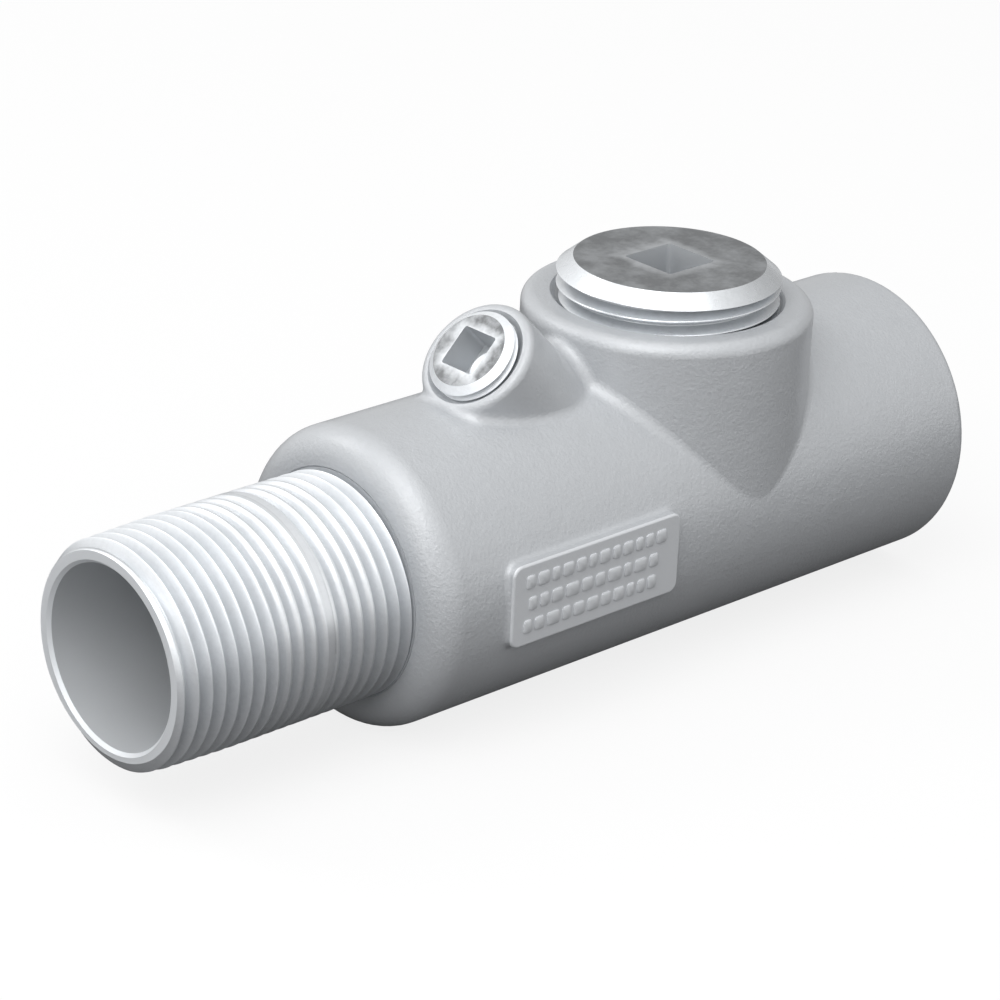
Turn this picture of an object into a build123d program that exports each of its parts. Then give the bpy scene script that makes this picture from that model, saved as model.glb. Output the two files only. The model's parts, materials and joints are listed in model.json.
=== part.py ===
from build123d import *
import math
import os

# Conduit sealing fitting, trade size 1, in millimetres. A cast body has a female hub at one end
# and holds a threaded steel nipple in the hub at the other. Above its chamber stand a large
# closure plug and a slanted pouring plug. The origin is the middle of the female hub's mouth.
# +X leaves that mouth along the run, and +Z points up through the closure plug.

# Taper pipe threads: crest diameter at the small end, and for the large one pitch and height too
TAPER = 1 / 16                  # gain in diameter for each unit of length
RUN_THREAD_D = 32.6
RUN_PITCH = 25.4 / 11.5
RUN_THREAD_HEIGHT = 1.77
POUR_THREAD_D = 13.26
PLUG_CLEARANCE = 0.08           # from a plug's crests to the wall round it

# Cast body
BODY_D = 44.5
BODY_LENGTH = 110.0
SHOULDER_ROUND = 4.5            # male end
MOUTH_ROUND = 1.6               # female end
HUB_DEPTH = 17.5                # threaded length of both hubs
FEMALE_HUB_D = 33.4
COUNTERSINK = 0.8
NIPPLE_COUNTERSINK = 0.3        # where the nipple goes in
STOP_D = 26.6                  # ring that stops the conduit
STOP_WIDTH = 3.5
STOP_CHAMFER = 1.0              # keeps its edges off the wires
WALL = 4.75                     # round the chamber
CHAMBER_TAPER = 4.0             # length of its coned ends

# Closure boss and plug
CLOSURE_X = -46.3
CLOSURE_BOSS_INSET = 0.35       # it is this much inside the run's sides
CLOSURE_BOSS_RISE = 7.25        # above the run's top
CLOSURE_LIP_ROUND = 2.0
CLOSURE_FILLET = 2.0            # where the boss grows out of the run
CLOSURE_THROAT_D = 32.0         # opening under the plug
CLOSURE_PLUG_LENGTH = 19.5
CLOSURE_PLUG_STANDS = 5.5       # above the boss
CLOSURE_CHAMFER_ACROSS = 2.5
CLOSURE_CHAMFER_DOWN = 2.0
CLOSURE_SOCKET = 9.6            # side of the square wrench socket
CLOSURE_SOCKET_DEPTH = 9.0

# Pouring boss and plug, on an axis that leans towards the male end
POUR_X = -56.7                  # where that axis crosses the run's
POUR_LEAN = 45.0                # degrees from +Z
POUR_BOSS_D = 18.3
POUR_BOSS_STANDS = 8.7          # out of the run, along its own axis
POUR_LIP_ROUND = 1.1
POUR_FILLET = 1.5
POUR_PORT_D = 10.0
POUR_PLUG_LENGTH = 11.0
POUR_PLUG_STANDS = 1.8
POUR_CHAMFER_ACROSS = 1.1
POUR_CHAMFER_DOWN = 0.9
POUR_SOCKET = 6.4
POUR_SOCKET_DEPTH = 5.5

# Flat marking pad on the -Y side
PAD_X = -80.8
PAD_Z = 0.6
PAD_LENGTH = 33.0
PAD_HEIGHT = 12.6
PAD_RISE = 0.7                  # at its middle, above the run's side
PAD_CORNER = 1.6
PAD_EDGE_ROUND = 0.4
PAD_FILLET = 0.8

# Nipple, threaded from both ends
PIPE_D = 33.4
PIPE_BORE_D = 26.6
NIPPLE_LENGTH = 50.8
NIPPLE_ENGAGED = 10.7           # length inside the body
NIPPLE_THREAD_LENGTH = 25.0     # from either end
NIPPLE_RUN_OUT = 4.0            # over which the grooves fade at the thread's inner end
NIPPLE_CHAMFER = 1.2
NIPPLE_BORE_CHAMFER = 0.5
NIPPLE_CLEARANCE = 0.05         # from its crests to the hub's wall


def tapered(end_d, s):
    """Crest radius of a taper thread at s from its small end."""
    return end_d / 2 + s * TAPER / 2


def turned(outline, axis):
    """Solid turned about an axis from an outline of (along the axis, radius) points."""
    if axis == Axis.X:
        return revolve(make_face(Polyline(*outline, close=True)), axis)
    flipped = [(radius, along) for along, radius in outline]
    return revolve(Plane.XZ * make_face(Polyline(*flipped, close=True)), axis)


def pipe_plug(end_d, length, chamfer_across, chamfer_down, socket, socket_depth):
    """Headless plug with its small end at z 0 and a square socket sunk in its flat top."""
    top_r = tapered(end_d, length)
    lead = chamfer_across / 2
    blank = turned([(0, 0), (0, end_d / 2 - lead), (lead, tapered(end_d, lead)),
                    (length - chamfer_down, tapered(end_d, length - chamfer_down)),
                    (length, top_r - chamfer_across), (length, 0)], Axis.Z)
    floor = length - socket_depth
    square = Pos(0, 0, floor) * extrude(RectangleRounded(socket, socket, socket / 16), socket_depth)
    drilled = Pos(0, 0, floor) * Cone(0, socket * 0.47, socket * 0.27,
                                      align=(Align.CENTER, Align.CENTER, Align.MAX))
    return blank - square - drilled


def plug_seat(end_d, length, stands, throat_d):
    """Cutter for a plug's hole: countersink, taper and shoulder, with the boss's rim at z 0."""
    mouth_r = tapered(end_d, length - stands) + PLUG_CLEARANCE
    depth = length - stands + 1
    bottom_r = mouth_r - depth * TAPER / 2
    step = bottom_r - throat_d / 2
    return turned([(1, 0), (1, mouth_r + COUNTERSINK + 1), (-COUNTERSINK, mouth_r),
                   (-depth, bottom_r), (-depth - step, throat_d / 2), (-depth - step, 0)], Axis.Z)


def pour_place(up):
    """Place on the pouring axis, at a distance from the run's axis."""
    return Pos(POUR_X, 0, 0) * Rot(0, -POUR_LEAN, 0) * Pos(0, 0, up)


def closure_place(up):
    """Place on the closure plug's axis, at a height above the run's axis."""
    return Pos(CLOSURE_X, 0, up)


# Outside of the casting: the run, then the bosses with their fillets, then the pad
body_r = BODY_D / 2
male_face = -BODY_LENGTH
closure_top = body_r + CLOSURE_BOSS_RISE
pour_rim = body_r / math.cos(math.radians(POUR_LEAN)) + POUR_BOSS_STANDS
run = revolve(make_face(
    Polyline((0, 0), (male_face, 0), (male_face, body_r - SHOULDER_ROUND))
    + RadiusArc((male_face, body_r - SHOULDER_ROUND), (male_face + SHOULDER_ROUND, body_r),
                SHOULDER_ROUND)
    + Line((male_face + SHOULDER_ROUND, body_r), (-MOUTH_ROUND, body_r))
    + RadiusArc((-MOUTH_ROUND, body_r), (0, body_r - MOUTH_ROUND), MOUTH_ROUND)
    + Line((0, body_r - MOUTH_ROUND), (0, 0))), Axis.X)

closure_boss = extrude(Circle(body_r - CLOSURE_BOSS_INSET), closure_top)
closure_boss = closure_place(0) * fillet(closure_boss.edges().sort_by(Axis.Z)[-1], CLOSURE_LIP_ROUND)
pour_boss = extrude(Circle(POUR_BOSS_D / 2), pour_rim)
pour_boss = pour_place(0) * fillet(pour_boss.edges().sort_by(Axis.Z)[-1], POUR_LIP_ROUND)
casting = run + closure_boss
casting = fillet(new_edges(run, closure_boss, combined=casting), CLOSURE_FILLET)
joined = casting + pour_boss
casting = fillet(new_edges(casting, pour_boss, combined=joined), POUR_FILLET)

pad = extrude(Plane.XZ * RectangleRounded(PAD_LENGTH, PAD_HEIGHT, PAD_CORNER), body_r + PAD_RISE)
pad = Pos(PAD_X, 0, PAD_Z) * fillet(pad.edges().group_by(Axis.Y)[0], PAD_EDGE_ROUND)
joined = casting + pad
casting = fillet(new_edges(casting, pad, combined=joined), PAD_FILLET)

# Inside of the casting: two hubs, each with its stop ring, and the chamber between them
nipple_mouth_r = tapered(RUN_THREAD_D, NIPPLE_ENGAGED) + NIPPLE_CLEARANCE
female_r = FEMALE_HUB_D / 2
female_hub = turned([(1, 0), (1, female_r + COUNTERSINK + 1), (-COUNTERSINK, female_r),
                     (-HUB_DEPTH, female_r), (-HUB_DEPTH, 0)], Axis.X)
male_hub = turned([(male_face - 1, 0), (male_face - 1, nipple_mouth_r + NIPPLE_COUNTERSINK + 1),
                   (male_face + NIPPLE_COUNTERSINK, nipple_mouth_r),
                   (male_face + HUB_DEPTH, nipple_mouth_r - HUB_DEPTH * TAPER / 2),
                   (male_face + HUB_DEPTH, 0)], Axis.X)
male_stop, female_stop = male_face + HUB_DEPTH, -HUB_DEPTH
male_end, female_end = male_stop + STOP_WIDTH, female_stop - STOP_WIDTH
stop_r, chamber_r = STOP_D / 2, body_r - WALL
wireway = turned([(male_stop, 0), (male_stop, stop_r + STOP_CHAMFER),
                  (male_stop + STOP_CHAMFER, stop_r), (male_end - STOP_CHAMFER, stop_r),
                  (male_end, stop_r + STOP_CHAMFER), (male_end + CHAMBER_TAPER, chamber_r),
                  (female_end - CHAMBER_TAPER, chamber_r), (female_end, stop_r + STOP_CHAMFER),
                  (female_end + STOP_CHAMFER, stop_r), (female_stop - STOP_CHAMFER, stop_r),
                  (female_stop, stop_r + STOP_CHAMFER), (female_stop, 0)], Axis.X)

closure_seat = closure_place(closure_top) * plug_seat(
    RUN_THREAD_D, CLOSURE_PLUG_LENGTH, CLOSURE_PLUG_STANDS, CLOSURE_THROAT_D)
throat = closure_place(0) * extrude(Circle(CLOSURE_THROAT_D / 2), closure_top - CLOSURE_PLUG_STANDS)
pour_seat = pour_place(pour_rim) * plug_seat(
    POUR_THREAD_D, POUR_PLUG_LENGTH, POUR_PLUG_STANDS, POUR_PORT_D)
port = pour_place(0) * extrude(Circle(POUR_PORT_D / 2), pour_rim - POUR_PLUG_STANDS)

sealing_body = casting - wireway - female_hub - male_hub
sealing_body = sealing_body - closure_seat - throat - pour_seat - port

# Nipple: ridges and grooves step along both threads to a short plain ring between them
pipe_r = PIPE_D / 2
free_end = male_face - (NIPPLE_LENGTH - NIPPLE_ENGAGED)


def groove_radius(s):
    """Bottom of a groove at s from the nipple's nearer end, rising to the pipe where it fades."""
    full = tapered(RUN_THREAD_D, s) - RUN_THREAD_HEIGHT
    fade = 1 - (NIPPLE_THREAD_LENGTH - s) / NIPPLE_RUN_OUT
    return full + (pipe_r - full) * min(1, max(0, fade))


half = [(0, RUN_THREAD_D / 2 - NIPPLE_CHAMFER)]
for turn in range(int(NIPPLE_THREAD_LENGTH / RUN_PITCH)):
    ridge, groove = (turn + 0.5) * RUN_PITCH, (turn + 1) * RUN_PITCH
    half += [(ridge, min(tapered(RUN_THREAD_D, ridge), pipe_r)), (groove, groove_radius(groove))]
half.append((NIPPLE_THREAD_LENGTH, pipe_r))
bore_r = PIPE_BORE_D / 2
outline = [(free_end + s, r) for s, r in half]
outline += [(free_end + NIPPLE_LENGTH - s, r) for s, r in reversed(half)]
outline += [(free_end + NIPPLE_LENGTH, bore_r + NIPPLE_BORE_CHAMFER),
            (free_end + NIPPLE_LENGTH - NIPPLE_BORE_CHAMFER, bore_r),
            (free_end + NIPPLE_BORE_CHAMFER, bore_r),
            (free_end, bore_r + NIPPLE_BORE_CHAMFER)]
male_nipple = turned(outline, Axis.X)

# Plugs, screwed home
closure_plug = closure_place(closure_top + CLOSURE_PLUG_STANDS - CLOSURE_PLUG_LENGTH) * pipe_plug(
    RUN_THREAD_D, CLOSURE_PLUG_LENGTH, CLOSURE_CHAMFER_ACROSS, CLOSURE_CHAMFER_DOWN,
    CLOSURE_SOCKET, CLOSURE_SOCKET_DEPTH)
pouring_plug = pour_place(pour_rim + POUR_PLUG_STANDS - POUR_PLUG_LENGTH) * pipe_plug(
    POUR_THREAD_D, POUR_PLUG_LENGTH, POUR_CHAMFER_ACROSS, POUR_CHAMFER_DOWN,
    POUR_SOCKET, POUR_SOCKET_DEPTH)

pieces = {"sealing_body": sealing_body, "male_nipple": male_nipple,
          "closure_plug": closure_plug, "pouring_plug": pouring_plug}
os.makedirs("parts", exist_ok=True)
for name, piece in pieces.items():
    export_step(piece, f"parts/{name}.step")
    print(name, round(piece.volume), "mm3")
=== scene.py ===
# %% [markdown]
# # A conduit sealing fitting
#
# The object is a cast iron fitting for electrical conduit. A threaded steel nipple is screwed
# into one end, and the other end is an open threaded hub. A large closure plug sits on top, and
# a small pouring plug slants beside it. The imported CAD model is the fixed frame, in metres.
# This file dresses it: it cuts the real helical threads, gives every surface its finish, and
# lights it as the photograph does.

import json
import math
import random

import bmesh
import bpy
from mathutils import Matrix, Vector

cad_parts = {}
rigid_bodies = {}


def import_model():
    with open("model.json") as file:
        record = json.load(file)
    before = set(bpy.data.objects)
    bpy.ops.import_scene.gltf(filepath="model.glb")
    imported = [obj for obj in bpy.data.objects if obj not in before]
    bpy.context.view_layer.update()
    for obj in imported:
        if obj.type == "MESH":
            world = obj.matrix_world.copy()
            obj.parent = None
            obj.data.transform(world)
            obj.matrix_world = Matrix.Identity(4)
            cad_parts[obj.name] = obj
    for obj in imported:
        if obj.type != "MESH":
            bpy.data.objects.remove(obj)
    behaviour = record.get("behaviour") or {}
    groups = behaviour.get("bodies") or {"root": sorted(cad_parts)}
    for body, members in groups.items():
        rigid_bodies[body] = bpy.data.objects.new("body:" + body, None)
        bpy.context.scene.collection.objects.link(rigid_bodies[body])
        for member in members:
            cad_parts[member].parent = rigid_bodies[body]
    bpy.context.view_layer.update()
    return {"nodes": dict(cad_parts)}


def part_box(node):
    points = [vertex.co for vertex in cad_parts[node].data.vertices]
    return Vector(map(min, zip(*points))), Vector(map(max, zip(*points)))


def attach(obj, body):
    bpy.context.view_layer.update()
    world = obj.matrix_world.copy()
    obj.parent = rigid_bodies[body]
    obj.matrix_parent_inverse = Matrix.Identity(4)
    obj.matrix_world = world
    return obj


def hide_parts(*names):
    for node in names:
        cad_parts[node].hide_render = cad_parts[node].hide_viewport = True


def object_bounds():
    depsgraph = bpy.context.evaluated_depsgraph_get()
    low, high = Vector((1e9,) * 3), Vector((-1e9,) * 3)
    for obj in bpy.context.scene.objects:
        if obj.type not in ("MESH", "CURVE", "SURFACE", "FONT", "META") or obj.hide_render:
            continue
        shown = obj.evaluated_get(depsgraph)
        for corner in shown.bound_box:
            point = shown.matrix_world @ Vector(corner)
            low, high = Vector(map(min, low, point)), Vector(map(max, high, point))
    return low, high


for leftover in list(bpy.data.objects):
    bpy.data.objects.remove(leftover)
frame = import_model()
MM = 0.001
for node in frame["nodes"]:
    low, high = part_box(node)
    print(node, "is", [round((b - a) / MM, 1) for a, b in zip(low, high)], "mm")

# %% [markdown]
# ## Places that the frame gives
#
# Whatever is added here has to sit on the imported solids, so a place that their boxes tell is
# read from them and not typed in again. Sizes are written in millimetres and are multiplied by MM
# where Blender wants metres. The closure plug is upright, so the middle of its box is its axis.

# %% Places
LOW, HIGH = 0, 1


def side_of(node, corner, axis):
    """Where a node's box begins or ends along an axis, in mm to a hundredth."""
    return round(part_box(node)[corner][axis] / MM, 2)


NIPPLE_START = side_of("male_nipple", LOW, 0)
CLOSURE_TOP = side_of("closure_plug", HIGH, 2)
CLOSURE_X = round((side_of("closure_plug", LOW, 0) + side_of("closure_plug", HIGH, 0)) / 2, 2)
PAD_FACE = side_of("sealing_body", LOW, 1)
BODY_R = side_of("sealing_body", HIGH, 1)
print("nipple from", NIPPLE_START, "closure plug at", CLOSURE_X, "up to", CLOSURE_TOP,
      "pad face at", PAD_FACE, "body radius", BODY_R)

# %% [markdown]
# ## The camera
#
# The photograph was taken with a long lens from the front left, a little above the fitting. The
# place and the lens come from fitting the model's own edges to it, so they are only numbers
# here. The two directions are the camera's right and backward axes, and its up axis follows.

# %% Camera
CAMERA_PLACE = Vector((-411.33, -346.48, 214.61)) * MM
CAMERA_RIGHT = Vector((0.73425, -0.67738, 0.04514))
CAMERA_BACK = Vector((-0.63438, -0.66093, 0.40092))
LENS, SENSOR = 129.24, 36
NEAREST, FARTHEST = 0.01, 20

camera = bpy.data.objects.new("camera", bpy.data.cameras.new("camera"))
camera.data.sensor_width = SENSOR
camera.data.lens = LENS
camera.data.clip_start, camera.data.clip_end = NEAREST, FARTHEST
backward = CAMERA_BACK.normalized()
rightward = (CAMERA_RIGHT - CAMERA_RIGHT.dot(backward) * backward).normalized()
facing = Matrix((rightward, backward.cross(rightward), backward)).transposed()
camera.matrix_world = Matrix.Translation(CAMERA_PLACE) @ facing.to_4x4()
bpy.context.scene.collection.objects.link(camera)
bpy.context.scene.camera = camera
bpy.context.scene.view_settings.view_transform = "Standard"
print("camera stands", round((CAMERA_PLACE - Vector((CLOSURE_X * MM, 0, 0))).length, 3), "m away")

# %% [markdown]
# ## Shader maths as expressions
#
# A material's numbers are easier to read as a sum than as a web of nodes. One small class wraps
# a socket: arithmetic on it adds Math nodes, and its method `node` adds any other node.

# %% A socket that can stand in an expression


class Wire:
    """An output socket. Arithmetic on it adds Math nodes to its tree."""

    def __init__(self, tree, socket=None):
        self.tree, self.socket = tree, socket

    def node(self, kind, settings=None, inputs=None, output=0):
        """Any node: its settings are set first, then the values or links of its sockets."""
        made = self.tree.nodes.new("ShaderNode" + kind)
        for name, value in (settings or {}).items():
            setattr(made, name, value)
        for name, value in (inputs or {}).items():
            if isinstance(value, Wire):
                self.tree.links.new(value.socket, made.inputs[name])
            else:
                made.inputs[name].default_value = value
        return Wire(self.tree, made.outputs[output] if made.outputs else None)

    def math(self, operation, first, second=0.0):
        return self.node("Math", {"operation": operation}, {0: first, 1: second})

    def __add__(self, other):
        return self.math("ADD", self, other)

    def __sub__(self, other):
        return self.math("SUBTRACT", self, other)

    def __rsub__(self, other):
        return self.math("SUBTRACT", other, self)

    def __mul__(self, other):
        return self.math("MULTIPLY", self, other)

    def __gt__(self, other):
        return self.math("GREATER_THAN", self, other)

    def __lt__(self, other):
        return self.math("LESS_THAN", self, other)

    def __pow__(self, other):
        return self.math("POWER", self, other)

    def limited(self):
        return self.node("Clamp", None, {"Value": self})

    def root(self):
        return self.math("SQRT", self)

    __radd__ = __add__
    __rmul__ = __mul__


print("expressions ready")

# %% [markdown]
# ## What every material needs
#
# Each finish starts from the object's own coordinates, so nothing has to be unwrapped and the
# grain keeps its real size. Soft random values in lumps of a size in millimetres give unevenness,
# two colours are mixed by such values, and a last helper adds the bump, the shader and the output.

# %% Helpers for materials


def new_material(name):
    """An empty material, and the start of its expressions."""
    material = bpy.data.materials.new(name)
    material.use_nodes = True
    material.node_tree.nodes.clear()
    return material, Wire(material.node_tree)


def own_place(start):
    """The point on the object in its own coordinates, in metres."""
    return start.node("TexCoord", None, None, "Object")


def part_of(start, vector, axis):
    """One of the three numbers of a vector: X, Y or Z."""
    return start.node("SeparateXYZ", None, {"Vector": vector}, axis)


def noise(start, place, size, detail, roughness=0.5):
    """Soft random values, about 0 to 1, in lumps of a size in mm."""
    return start.node("TexNoise", {"normalize": True},
                      {"Vector": place, "Scale": 1 / (size * MM), "Detail": detail,
                       "Roughness": roughness})


def mixed(start, factor, first, second):
    """A colour between two colours. The Mix node's colour sockets have only numbers."""
    colours = [c if isinstance(c, Wire) else (*c, 1) for c in (first, second)]
    return start.node("Mix", {"data_type": "RGBA"},
                      {0: factor, 6: colours[0], 7: colours[1]}, 2)


def surface(start, height, depth, **inputs):
    """The shader and the output: a bump from heights, whose 1 is a depth in mm, and the rest."""
    bump = start.node("Bump", None, {"Height": height, "Distance": depth * MM, "Strength": 1.0})
    sockets = {name.replace("_", " "): value for name, value in inputs.items()}
    shader = start.node("BsdfPrincipled", None, {**sockets, "Normal": bump})
    start.node("OutputMaterial", None, {"Surface": shader})


print("helpers ready")

# %% [markdown]
# ## Grey enamel over cast iron
#
# The body is sand cast and sprayed with a grey enamel that has fine metal in it. The grain of
# the sand still shows through as a low bump, in two sizes: grains of half a millimetre and soft
# lumps of a few millimetres. The enamel is a little uneven, and inside the body it is thin, so
# the dark iron shows. The marking pad is lighter and smoother, as in the photograph. Both places
# are found from coordinates, because the casting is one mesh that is never cut.

# %% Enamelled casting
GREY_DARK, GREY_LIGHT = (0.485, 0.502, 0.522), (0.57, 0.588, 0.61)
BARE_IRON, PAD_GREY = (0.15, 0.15, 0.155), (0.76, 0.78, 0.805)
INNER_R, INNER_FROM, INNER_TO = 18.6 * MM, -108.6 * MM, -0.9 * MM
PAD_OUT, PAD_FROM, PAD_TO = -22.6 * MM, -97.6 * MM, -64.0 * MM
SAND_DEPTH = 0.12

enamel, start = new_material("grey_enamel_on_cast_iron")
place = own_place(start)
grains = noise(start, place, 0.55, 4.0, 0.6)
lumps = noise(start, place, 4.5, 2.0)
cloud = noise(start, place, 16.0, 3.0)
spots = noise(start, place, 1.6, 2.0)
x, y, z = [part_of(start, place, axis) for axis in "XYZ"]
from_run = (y * y + z * z).root()
inside = (from_run < INNER_R) * (x > INNER_FROM) * (x < INNER_TO)
on_pad = (y < PAD_OUT) * (x > PAD_FROM) * (x < PAD_TO)
tone = (cloud * 0.45 + spots * 0.25 + grains * 0.6 - 0.15).limited()
shade = mixed(start, tone, GREY_DARK, GREY_LIGHT)
shade = mixed(start, inside * 0.6, shade, BARE_IRON)
shade = mixed(start, on_pad * 0.75, shade, PAD_GREY)
sand = (grains * 0.9 + lumps) * (1 - on_pad * 0.75)
surface(start, sand, SAND_DEPTH, Base_Color=shade, Metallic=0.2,
        Roughness=(grains * 0.14 + 0.38 + inside * 0.2).limited(),
        Coat_Weight=0.5, Coat_Roughness=0.22)
body_object = frame["nodes"]["sealing_body"]
body_object.data.materials.clear()
body_object.data.materials.append(enamel)
print("casting:", len(body_object.data.polygons), "faces, one enamel")

# %% [markdown]
# ## Bright zinc over steel
#
# The nipple and the plugs are turned steel with a bright zinc plating. The crests of a thread
# are painted almost white as a painted highlight, and its roots are painted grey as painted shade
# in the grooves, so each thread mesh carries a value named `crest`, 1 on the crests and 0 in the
# roots, and the material reads it. Duller flecks of a millimetre break up the plating, and fine
# lines round the axis are left from turning.

# %% Zinc finishes
TINT = (0.97, 1.0, 1.03)
FLECK_SIZE, LINE_WIDTH, TURNED_DEPTH = 0.9, 0.12, 0.01


def tinted(value):
    """The slightly blue white of zinc, at a brightness."""
    return [value * tint for tint in TINT]


def zinc(name, bright, dull, rough, turned_lines=0.5, metal=1.0):
    """Plated steel, painted grey in the roots of a thread as shade and white on its crests as
    highlight.
    """
    material, start = new_material(name)
    place = own_place(start)
    crest = start.node("Attribute", {"attribute_name": "crest"}, None, "Fac")
    along = part_of(start, place, "Z")
    cloud = noise(start, place, 3.0, 3.0)
    fine = noise(start, place, 0.35, 2.0)
    lines = start.node("TexNoise", {"noise_dimensions": "1D"},
                       {"W": along * (1 / (LINE_WIDTH * MM)), "Scale": 1.0, "Detail": 1.0})
    grit = noise(start, place, FLECK_SIZE, 4.0, 0.7)
    flecks = ((grit - 0.5) * 2.0 + cloud - 0.35).limited()
    # Painted highlight on the crests and painted shade in the roots, broken by duller flecks.
    crest_light_and_flecks = (crest ** 1.5 * (cloud * 0.3 + 0.8) - flecks * 0.45).limited()
    shade = mixed(start, crest_light_and_flecks, tinted(dull), tinted(bright))
    surface(start, lines * turned_lines + fine * 0.3, TURNED_DEPTH, Base_Color=shade,
            Metallic=metal, Roughness=(cloud * 0.1 + rough + (1 - crest) * 0.12).limited())
    return material


nipple_zinc = zinc("bright_zinc_nipple", 0.94, 0.76, rough=0.26, turned_lines=0.6, metal=0.7)
bore_zinc = zinc("dull_zinc_bore", 0.59, 0.59, rough=0.55, turned_lines=0.3, metal=0.2)
end_zinc = zinc("cut_zinc_end", 0.80, 0.80, rough=0.45, turned_lines=0.3, metal=0.35)
plug_zinc = zinc("bright_zinc_plug", 0.90, 0.64, rough=0.22, metal=0.8)
pouring_zinc = zinc("bright_zinc_pouring_plug", 0.96, 0.66, rough=0.34, turned_lines=0.3,
                    metal=0.35)
socket_zinc = zinc("dull_zinc_socket", 0.58, 0.58, rough=0.48, turned_lines=0.3, metal=0.6)
cut_iron = zinc("cut_iron_thread", 0.50, 0.34, rough=0.35)
print("turned finishes:", [m.name for m in (nipple_zinc, bore_zinc, end_zinc, plug_zinc,
                                            pouring_zinc, socket_zinc, cut_iron)])

# %% [markdown]
# ## Stained tops of the plugs, painted darker
#
# The flat tops of the plugs carry dull stains, and the whole top is painted darker than the rest
# of the plug, a painted reflection of dark surroundings. Round the square hole the plating is
# painted brighter, a painted highlight on the hole's edge. The distance from the square is the
# larger of the two distances from the axis, less half its side, so the bright edge follows the
# hole without being painted by hand.

# %% Stained tops with a painted highlight round the hole
CLOSURE_HOLE, POUR_HOLE = 9.6, 6.4
HOLE_HIGHLIGHT, TOP_GRAIN_DEPTH = 0.75, 0.02


def top_with_stains_and_painted_light(name, side, unstained_painted_dark, stained_painted_dark, rough, metal):
    """A plug's flat top: stains a few millimetres wide, and a painted highlight round the hole."""
    material, start = new_material(name)
    place = own_place(start)
    across = [start.math("ABSOLUTE", part_of(start, place, axis)) for axis in "XY"]
    from_hole = start.math("MAXIMUM", *across) - side / 2 * MM
    grit = noise(start, place, FLECK_SIZE, 4.0, 0.7)
    stain = noise(start, place, side * 0.45, 3.0, 0.6)
    # Painted highlight: a brighter band of plating round the edge of the hole.
    painted_hole_highlight = (1 - from_hole * (1 / (side * 0.22 * MM)) + (stain - 0.5) * 1.5).limited()
    stains = ((stain - 0.5) * 3.0 + (grit - 0.5) * 1.6 + 0.5).limited()
    shade = mixed(start, stains, tinted(stained_painted_dark), tinted(unstained_painted_dark))
    shade = mixed(start, painted_hole_highlight * 0.6, shade, tinted(HOLE_HIGHLIGHT))
    surface(start, grit, TOP_GRAIN_DEPTH, Base_Color=shade, Metallic=metal,
            Roughness=(stain * 0.2 + rough - painted_hole_highlight * 0.1).limited())
    return material


# Both tops are painted darker than the plugs' sides, a painted reflection of dark surroundings.
closure_top = top_with_stains_and_painted_light("zinc_closure_top_stains_and_painted_light", CLOSURE_HOLE, unstained_painted_dark=0.40, stained_painted_dark=0.26,
                          rough=0.36, metal=0.85)
pouring_top = top_with_stains_and_painted_light("zinc_pouring_top_stains_and_painted_light", POUR_HOLE, unstained_painted_dark=0.42, stained_painted_dark=0.17,
                          rough=0.40, metal=0.6)
print("tops:", closure_top.name, pouring_top.name)

# %% [markdown]
# ## The section of a thread
#
# A thread is one ridge wound as a helix. Cut along the axis it shows straight flanks between a
# crest and a root that are both slightly rounded. One formula gives its height at each place
# across a pitch, and rows of points are set closest together where it bends most.

# %% Section of a thread
INCH = 25.4
TAPER = 1 / 16
RUN_THREAD_D, RUN_PITCH, RUN_HEIGHT = 32.6, INCH / 11.5, 1.77
POUR_THREAD_D, POUR_PITCH, POUR_HEIGHT = 13.26, INCH / 18, 1.1
CREST_ROUND, ROOT_ROUND = 0.14, 0.16
PHASES = (0, 0.04, 0.08, 0.25, 0.425, 0.45, 0.475, 0.5, 0.525, 0.55, 0.575, 0.75, 0.92, 0.96)


def ridge(phase):
    """Height of the section, 0 to 1, across one pitch: flanks with a round crest and root."""
    t = abs(phase % 1 - 0.5) * 2
    slope = 1 / (1 - CREST_ROUND / 2 - ROOT_ROUND / 2)
    if t < CREST_ROUND:
        return 1 - slope * t * t / (2 * CREST_ROUND)
    if t > 1 - ROOT_ROUND:
        return slope * (1 - t) ** 2 / (2 * ROOT_ROUND)
    return 1 - slope * (t - CREST_ROUND / 2)


print("across a pitch:", [round(ridge(phase), 2) for phase in PHASES])

# %% [markdown]
# ## Rows that really wind
#
# A screw modifier would leave ragged ends, so the threads are built from rows of points. Each
# row follows the helix, so the crest stays sharp, and it climbs one pitch in each turn. At the
# two ends of a thread the points are held back to the end plane, and plain rings carry on.

# %% Rings and wound rows
COLUMNS = 120
ANGLES = [2 * math.pi * column / COLUMNS for column in range(COLUMNS + 1)]
FIRST_SLOT = 0


def ring(radius, height, material=FIRST_SLOT):
    """One row round the axis. The radius is a number or a function of the angle."""
    radii = [radius(a) if callable(radius) else radius for a in ANGLES]
    return [(r, height, 1.0) for r in radii], material, True


def cut_ring(radius, height, pitch, origin=0.0):
    """The row where a flat end cuts a thread off: it follows the thread's own outline."""
    row = []
    for column in range(COLUMNS + 1):
        here = ridge((height - origin) / pitch - column / COLUMNS)
        row.append((radius(height, here), height, here))
    return row, FIRST_SLOT, True


def wound(start, end, pitch, radius, origin=0.0):
    """Rows of a thread between two heights, rooted at an origin. radius(height, ridge) in mm."""
    first_turn = math.floor((start - origin) / pitch) - 1
    last_turn = math.ceil((end - origin) / pitch)
    rows = []
    for turn in range(first_turn, last_turn + 1):
        for phase in PHASES:
            row = []
            for column in range(COLUMNS + 1):
                height = origin + (turn + phase + column / COLUMNS) * pitch
                height = min(end, max(start, height))
                here = ridge((height - origin) / pitch - column / COLUMNS)
                row.append((radius(height, here), height, here))
            rows.append((row, FIRST_SLOT, False))
    return rows


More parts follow.
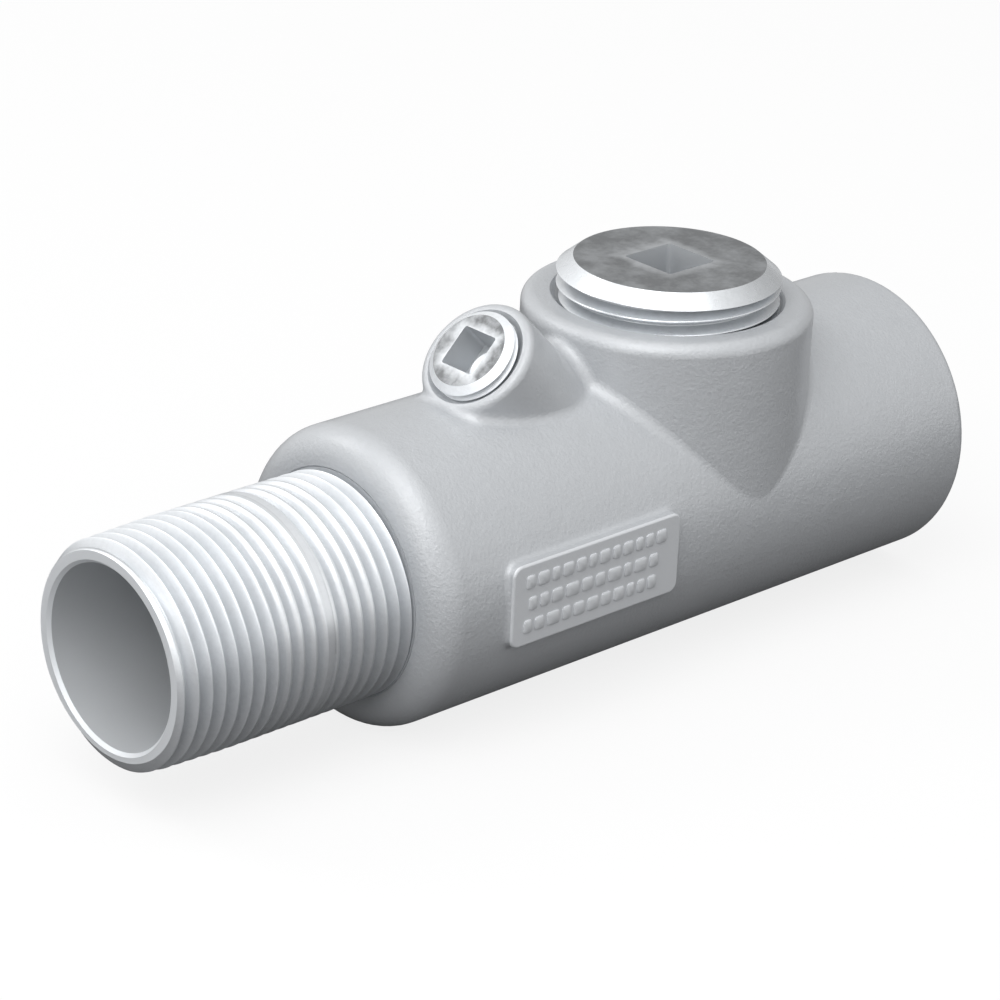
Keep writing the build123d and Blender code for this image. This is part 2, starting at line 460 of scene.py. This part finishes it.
print(COLUMNS, "columns round each thread")

# %% [markdown]
# ## A skin over the rows
#
# Neighbouring rows are joined by quads. The points that were held back to an end plane lie on
# each other there, so doubles are merged, and so are the points of a row without a radius, which
# closes the mesh at the axis. Only the rings of sharp rows keep a hard edge.

# %% Turned pieces
MERGED_WITHIN = 1e-7
MERGED_DIGITS = 7


def turned_piece(name, rows, materials, place, looped=False):
    """A mesh skinned over rows. A looped one joins its last row to its first."""
    mesh = bpy.data.meshes.new(name)
    build = bmesh.new()
    crest = build.verts.layers.float.new("crest")
    grid = []
    for row, _, _ in rows:
        points = []
        for angle, (radius, height, value) in zip(ANGLES, row):
            corner = build.verts.new(
                (radius * math.cos(angle) * MM, radius * math.sin(angle) * MM, height * MM))
            corner[crest] = value
            points.append(corner)
        grid.append(points)
    pairs = list(zip(grid, grid[1:])) + ([(grid[-1], grid[0])] if looped else [])
    for (lower, upper), (_, material, _) in zip(pairs, rows):
        for column in range(COLUMNS):
            face = build.faces.new((lower[column], lower[column + 1],
                                    upper[column + 1], upper[column]))
            face.material_index = material
            face.smooth = True
    bmesh.ops.remove_doubles(build, verts=build.verts, dist=MERGED_WITHIN)
    bmesh.ops.dissolve_degenerate(build, edges=build.edges, dist=MERGED_WITHIN)
    sharp_heights = {round(row[0][1] * MM, MERGED_DIGITS) for row, _, sharp in rows if sharp}
    for edge in build.edges:
        heights = {round(corner.co.z, MERGED_DIGITS) for corner in edge.verts}
        edge.smooth = not (len(heights) == 1 and heights <= sharp_heights)
    bmesh.ops.recalc_face_normals(build, faces=build.faces)
    build.to_mesh(mesh)
    open_edges = sum(1 for edge in build.edges if len(edge.link_faces) != 2)
    triangles = sum(len(face.verts) - 2 for face in build.faces)
    build.free()
    for material in materials:
        mesh.materials.append(material)
    piece = bpy.data.objects.new(name, mesh)
    bpy.context.scene.collection.objects.link(piece)
    piece.matrix_world = place
    print(name, "has", triangles, "triangles and", open_edges, "open edges")
    return piece


print("points merge within", round(MERGED_WITHIN / MM, 4), "mm")

# %% [markdown]
# ## The nipple
#
# A two-inch piece of rigid conduit, threaded from both ends with a short plain ring left in the
# middle. Its thread is a taper thread, so towards each end the crests come in. The die also
# leaves the last half millimetre before the ring shallow, so the roots rise there. The bore and
# the cut end are slots of their own, because plating is dull inside and scratched at the end.

# %% Nipple
PIPE_R, BORE_R = 33.4 / 2, 26.6 / 2
NIPPLE_LENGTH = 2 * INCH
RING_FROM, RING_TO, RING_STEP = 24.9, 25.9, 0.1
END_CHAMFER, BORE_CHAMFER = 1.2, 0.5
SHALLOW_LENGTH, SHALLOW_SHARE = 0.5, 0.75
BORE, END = 1, 2


def nipple_radius(height, here):
    """Crests and roots of the taper thread that starts at the nearer end."""
    from_end = min(height, NIPPLE_LENGTH - height)
    crest = RUN_THREAD_D / 2 + from_end * TAPER / 2
    shallow = 0.0
    if height < RING_FROM + RING_STEP:
        shallow = max(0.0, 1 - (RING_FROM - from_end) / SHALLOW_LENGTH)
    root = crest - RUN_HEIGHT * (1 - SHALLOW_SHARE * shallow)
    edge = RUN_THREAD_D / 2 - END_CHAMFER + from_end
    return min(root + (crest - root) * here, PIPE_R, edge)


rows = [cut_ring(nipple_radius, 0, RUN_PITCH)] + wound(0, RING_FROM, RUN_PITCH, nipple_radius)
rows += [ring(PIPE_R, RING_FROM + RING_STEP), ring(PIPE_R, RING_TO - RING_STEP)]
rows += wound(RING_TO, NIPPLE_LENGTH, RUN_PITCH, nipple_radius, RING_TO)
rows += [cut_ring(nipple_radius, NIPPLE_LENGTH, RUN_PITCH, RING_TO),
         ring(BORE_R + BORE_CHAMFER, NIPPLE_LENGTH, BORE),
         ring(BORE_R, NIPPLE_LENGTH - BORE_CHAMFER, BORE),
         ring(BORE_R, BORE_CHAMFER, END), ring(BORE_R + BORE_CHAMFER, 0, END)]
ALONG_RUN = Matrix.Rotation(math.pi / 2, 4, "Y")
nipple_place = Matrix.Translation((NIPPLE_START * MM, 0, 0)) @ ALONG_RUN
nipple = turned_piece("threaded_nipple", rows, [nipple_zinc, bore_zinc, end_zinc], nipple_place,
                      looped=True)
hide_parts("male_nipple")
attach(nipple, "fitting")

# %% [markdown]
# ## The square wrench hole
#
# Both plugs are headless: a wrench with a square end turns them from inside. The hole is part of
# the same turned skin, so its rings follow a square with small round corners instead of a circle.

# %% A square for rings
CORNER_SHARE = 1 / 16


def square(side, corner):
    """The radius of a rounded square as a function of the angle."""
    half = side / 2 - corner

    def radius(angle):
        a = abs((angle + math.pi / 4) % (math.pi / 2) - math.pi / 4)
        flat = (side / 2) / math.cos(a)
        if flat * math.sin(a) <= half:
            return flat
        middle = half * math.sqrt(2)
        off = math.pi / 4 - a
        return middle * math.cos(off) + math.sqrt(corner ** 2 - (middle * math.sin(off)) ** 2)

    return radius


hole_corner = square(CLOSURE_HOLE, CLOSURE_HOLE * CORNER_SHARE)(math.pi / 4)
print("corner of the closure plug's hole is", round(hole_corner, 2), "mm from its axis")

# %% [markdown]
# ## The plugs
#
# Each plug is a threaded disc that tapers towards its lower end, with a bevelled rim on top. Its
# hole ends in the shallow cone of the drill that starts it. Plugs of both kinds have the same
# form, so one function makes them from their sizes.

# %% Plugs
CLOSURE_LENGTH, POUR_LENGTH = 19.5, 11.0
POUR_X, POUR_ABOVE_RUN, POUR_STANDS, POUR_LEAN = -56.7, 8.7, 1.8, math.pi / 4
POUR_TOP = BODY_R * math.sqrt(2) + POUR_ABOVE_RUN + POUR_STANDS
DRILL_SHARE, CONE_SHARE = 0.47, 0.27
BEVEL_STEP = 0.02
TOP, SOCKET = 1, 2


def plug(name, node, end_d, length, pitch, height, bevel, side, depth, place, finishes):
    """A taper plug on its small end, with its thread, bevel (in, down) and square socket."""
    bevel_in, bevel_down = bevel
    top_r = end_d / 2 + length * TAPER / 2
    lead = bevel_in / 2
    hole = square(side, side * CORNER_SHARE)

    def radius(z, here):
        crest = end_d / 2 + z * TAPER / 2
        return min(crest - height * (1 - here), end_d / 2 - lead + z)

    rows = [ring(0, 0), cut_ring(radius, 0, pitch)]
    rows += wound(0, length - bevel_down, pitch, radius)
    rows += [ring(top_r - bevel_down * TAPER / 2, length - bevel_down + BEVEL_STEP),
             ring(top_r - bevel_in, length, TOP), ring(hole, length, SOCKET),
             ring(hole, length - depth, SOCKET), ring(side * DRILL_SHARE, length - depth),
             ring(0, length - depth - side * CONE_SHARE)]
    piece = turned_piece(name, rows, finishes, place)
    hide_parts(node)
    return piece


closure_place = Matrix.Translation((CLOSURE_X * MM, 0, (CLOSURE_TOP - CLOSURE_LENGTH) * MM))
pour_place = (Matrix.Translation((POUR_X * MM, 0, 0)) @ Matrix.Rotation(-POUR_LEAN, 4, "Y")
              @ Matrix.Translation((0, 0, (POUR_TOP - POUR_LENGTH) * MM)))
closure_plug = plug("closure_plug_threaded", "closure_plug", RUN_THREAD_D, CLOSURE_LENGTH,
                    RUN_PITCH, RUN_HEIGHT, bevel=(2.5, 2.0), side=CLOSURE_HOLE, depth=9.0,
                    place=closure_place, finishes=[plug_zinc, closure_top, socket_zinc])
pouring_plug = plug("pouring_plug_threaded", "pouring_plug", POUR_THREAD_D, POUR_LENGTH,
                    POUR_PITCH, POUR_HEIGHT, bevel=(1.1, 0.9), side=POUR_HOLE, depth=5.5,
                    place=pour_place, finishes=[pouring_zinc, pouring_top, socket_zinc])
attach(closure_plug, "large_plug")
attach(pouring_plug, "small_plug")

# %% [markdown]
# ## Threads inside the body
#
# The body is tapped in four places, and the CAD model has plain walls there. The casting's mesh
# stays whole: a thin threaded lining stands in each hole, with its back just inside the wall, so
# only the ridges show. A seat's lining is wound on the same helix as the plug that screws into
# it, a hair further out, so crests lie in roots. The one round the nipple is painted like the
# casting, because its mouth is open to the spray.

# %% Linings of the tapped holes
CLEARANCE, SEAT_IN_WALL, HUB_IN_WALL = 0.07, 0.13, 0.05
HUB_R, HUB_RIDGE, HUB_FADE = PIPE_R, 1.6, 0.9
HUB_STOP, HUB_MOUTH = -17.45, -0.7
CLOSURE_SEAT, POUR_SEAT = (0.2, 13.3), (0.4, 8.4)
NIPPLE_SEAT = (NIPPLE_LENGTH - 10.6, NIPPLE_LENGTH - 0.2)


def lining(name, start, end, pitch, radius, back, origin, place, finish=cut_iron):
    """A threaded ring between two heights, with its back in the wall."""
    rows = wound(start, end, pitch, radius, origin)
    rows += [ring(back(end), end), ring(back(start), start)]
    piece = turned_piece(name, rows, [finish], place, looped=True)
    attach(piece, "fitting")
    return piece


def around(end_d, height):
    """Radius of the thread that a plug or nipple with this taper fits, and of its back."""
    def radius(z, here):
        return end_d / 2 + z * TAPER / 2 - height * (1 - here) + CLEARANCE

    def back(z):
        return end_d / 2 + z * TAPER / 2 + SEAT_IN_WALL

    return radius, back


def hub_radius(z, here):
    """The open hub: full ridges, cut back where they start at the mouth and end at the stop."""
    full = min(1, (HUB_MOUTH - z) / HUB_FADE, (z - HUB_STOP) / HUB_FADE)
    return HUB_R - HUB_RIDGE * here * full


run_radius, run_back = around(RUN_THREAD_D, RUN_HEIGHT)
pour_radius, pour_back = around(POUR_THREAD_D, POUR_HEIGHT)
lining("female_hub_thread", HUB_STOP, HUB_MOUTH, RUN_PITCH, hub_radius,
       lambda z: HUB_R + HUB_IN_WALL, HUB_MOUTH, ALONG_RUN)
lining("closure_seat_thread", *CLOSURE_SEAT, RUN_PITCH, run_radius, run_back, 0.0,
       closure_place)
lining("pouring_seat_thread", *POUR_SEAT, POUR_PITCH, pour_radius, pour_back, 0.0, pour_place)
lining("male_hub_thread", *NIPPLE_SEAT, RUN_PITCH,
       lambda z, here: run_radius(NIPPLE_LENGTH - z, here),
       lambda z: run_back(NIPPLE_LENGTH - z), RING_TO, nipple_place, enamel)

# %% [markdown]
# ## Blocks on the marking pad
#
# A foundry leaves a flat pad on the side for marking. Here it carries three rows of plain raised
# blocks, which say nothing. Each is a low rounded block that is sunk a little into the pad, as a
# mesh and not a bump, so that it catches the light at its edges. The lengths are drawn at random
# with a fixed seed, so every run gives the same rows.

# %% One block
PAD_X, PAD_Z = -80.8, 0.6
BLOCK_HEIGHT, BLOCK_STANDS, BLOCK_CORNER = 2.0, 0.25, 0.45
BLOCK_SUNK, BLOCK_BEVEL = 0.1, 0.2
CORNER_STEPS = 4


def block(build, left, length, middle):
    """A rounded outline in the pad, the same one above it, and a smaller one on top."""
    outlines = []
    for shrink, out in ((0.0, -BLOCK_SUNK), (0.0, BLOCK_STANDS * 0.5),
                        (BLOCK_BEVEL, BLOCK_STANDS)):
        half_length = length / 2 - shrink - BLOCK_CORNER
        half_height = BLOCK_HEIGHT / 2 - shrink - BLOCK_CORNER
        outline = []
        for quarter, (right, up) in enumerate(((1, 1), (-1, 1), (-1, -1), (1, -1))):
            for step in range(CORNER_STEPS + 1):
                a = (quarter + step / CORNER_STEPS) * math.pi / 2
                across = left + length / 2 + right * half_length + BLOCK_CORNER * math.cos(a)
                above = middle + up * half_height + BLOCK_CORNER * math.sin(a)
                outline.append(build.verts.new(
                    ((PAD_X + across) * MM, (PAD_FACE - out) * MM, (PAD_Z + above) * MM)))
        outlines.append(outline)
    for lower, upper in zip(outlines, outlines[1:]):
        for k in range(len(lower)):
            n = (k + 1) % len(lower)
            build.faces.new((lower[k], lower[n], upper[n], upper[k])).smooth = True
    build.faces.new(outlines[-1])
    build.faces.new(outlines[0][::-1])


print("a block stands", BLOCK_STANDS, "mm above the pad")

# %% Marking pad
ROW_HEIGHTS = (3.5, 0.1, -3.3)
ROW_FROM, ROW_TO, ROW_INDENT, BLOCK_GAP = -14.4, 14.4, 1.2, 0.6
SHORTEST, LONGEST = 0.7, 1.3
SHARP_EDGE = math.radians(50)
chance = random.Random(7)

mesh = bpy.data.meshes.new("marking_pad_bars")
build = bmesh.new()
for height in ROW_HEIGHTS:
    left = ROW_FROM + chance.uniform(0, ROW_INDENT)
    while left < ROW_TO - BLOCK_HEIGHT:
        length = min(chance.uniform(SHORTEST, LONGEST) * BLOCK_HEIGHT, ROW_TO - left)
        block(build, left, length, height)
        left += length + BLOCK_GAP
bmesh.ops.recalc_face_normals(build, faces=build.faces)
build.to_mesh(mesh)
build.free()
mesh.set_sharp_from_angle(angle=SHARP_EDGE)
mesh.materials.append(enamel)
bars = bpy.data.objects.new("marking_pad_bars", mesh)
bpy.context.scene.collection.objects.link(bars)
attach(bars, "fitting")
print("pad blocks:", len(mesh.polygons), "faces")

# %% [markdown]
# ## The floor
#
# The photograph has a pure white ground with a soft shadow at most. A white floor would also
# light the fitting from below and turn its dark underside pale. So the floor has two faces: a
# camera ray sees it nearly white, and every other ray sees it dark near the fitting and lighter
# further away. The Light Path node tells the two apart.

# %% Floor
FLOOR_HALF = 3.0
GROUND_NEAR, GROUND_FAR = (0.08, 0.08, 0.082), (0.45, 0.45, 0.46)
GROUND_SEEN = (0.92, 0.92, 0.92)


def ray_kinds(start):
    """1 for a ray from the camera, and 1 for one that a shiny or clear surface sends."""
    seen = start.node("LightPath", None, None, "Is Camera Ray")
    gloss = start.node("LightPath", None, None, "Is Glossy Ray")
    through = start.node("LightPath", None, None, "Is Transmission Ray")
    return seen, gloss + through


low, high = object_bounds()
corners = [(-FLOOR_HALF, -FLOOR_HALF), (FLOOR_HALF, -FLOOR_HALF), (FLOOR_HALF, FLOOR_HALF),
           (-FLOOR_HALF, FLOOR_HALF)]
floor_mesh = bpy.data.meshes.new("floor")
floor_mesh.from_pydata([(a, b, low.z) for a, b in corners], [], [(0, 1, 2, 3)])
floor = bpy.data.objects.new("floor", floor_mesh)
bpy.context.scene.collection.objects.link(floor)
floor_finish, start = new_material("pale_floor")
white = start.node("Emission", None, {"Color": (1, 1, 1, 1), "Strength": 1.0})
seen, mirrored = ray_kinds(start)
away = start.node("VectorMath", {"operation": "LENGTH"}, {0: own_place(start)}, "Value")
far = (away * 1.6 - 0.2).limited()
ground = mixed(start, far, GROUND_NEAR, GROUND_FAR)
pale = start.node("BsdfDiffuse", None, {"Color": mixed(start, seen, ground, GROUND_SEEN)})
glow = (seen * 0.8 + mirrored * far * 0.6 + 0.02).limited()
both = start.node("MixShader", None, {"Fac": glow, 1: pale, 2: white})
start.node("OutputMaterial", None, {"Surface": both})
floor_mesh.materials.append(floor_finish)
print("floor at", round(low.z / MM, 2), "mm")

# %% [markdown]
# ## The surroundings
#
# The world stands in for the walls of a small studio. It lights the fitting evenly, a little more
# from the front and a little less from the right, where the photograph is darker. The camera sees
# it pure white, and shiny surfaces see it almost white except towards the right.

# %% Surroundings
AMBIENT, FRONT_GAIN, RIGHT_LOSS = 0.52, 0.5, 0.16
MIRRORED_WHITE, MIRRORED_RIGHT_LOSS = 0.9, 1.1

world = bpy.data.worlds.new("studio")
bpy.context.scene.world = world
world.use_nodes = True
world.node_tree.nodes.clear()
start = Wire(world.node_tree)
seen, mirrored = ray_kinds(start)
way = start.node("TexCoord", None, None, "Generated")
front = start.math("MAXIMUM", part_of(start, way, "Y") * -1.0)
right_side = start.math("MAXIMUM", part_of(start, way, "X"))
level = front * FRONT_GAIN - right_side * RIGHT_LOSS + AMBIENT
ambient = start.node("Background", None, {"Color": (1, 1, 1, 1), "Strength": level})
white = start.node("Background", None, {"Color": (1, 1, 1, 1), "Strength": 1.0})
whiteness = (seen + mirrored * (MIRRORED_WHITE - right_side * MIRRORED_RIGHT_LOSS)).limited()
sky = start.node("MixShader", None, {"Fac": whiteness, 1: ambient, 2: white})
start.node("OutputWorld", None, {"Surface": sky})
print("surroundings at a level of", AMBIENT)

# %% [markdown]
# ## The lamps
#
# Large square lamps give the soft light of a studio. The key lamp stands high at the left, where
# the photograph's highlights lie. A lamp above whitens the plugs, one behind gives the hidden side
# some form, and a weak one off the nipple's end reaches the shoulder and the bore.

# %% Lamps


def lamp(name, place, aim, size, watts):
    """A square soft lamp at a place in metres, turned towards a point."""
    light = bpy.data.lights.new(name, "AREA")
    light.size, light.energy = size, watts
    made = bpy.data.objects.new(name, light)
    made.location = place
    way = Vector(aim) - Vector(place)
    made.rotation_euler = way.to_track_quat("-Z", "Y").to_euler()
    bpy.context.scene.collection.objects.link(made)
    print(name, watts, "W from", place)


MIDDLE = (-0.075, 0, 0)
lamp("key", (-0.7, -0.28, 0.85), MIDDLE, size=0.8, watts=4.9)
lamp("top", (-0.15, -0.1, 1.0), MIDDLE, size=0.8, watts=1.8)
lamp("back", (-0.55, 0.8, 0.75), MIDDLE, size=0.5, watts=2.0)
lamp("end", (-1.0, -0.2, 0.35), MIDDLE, size=0.5, watts=0.8)
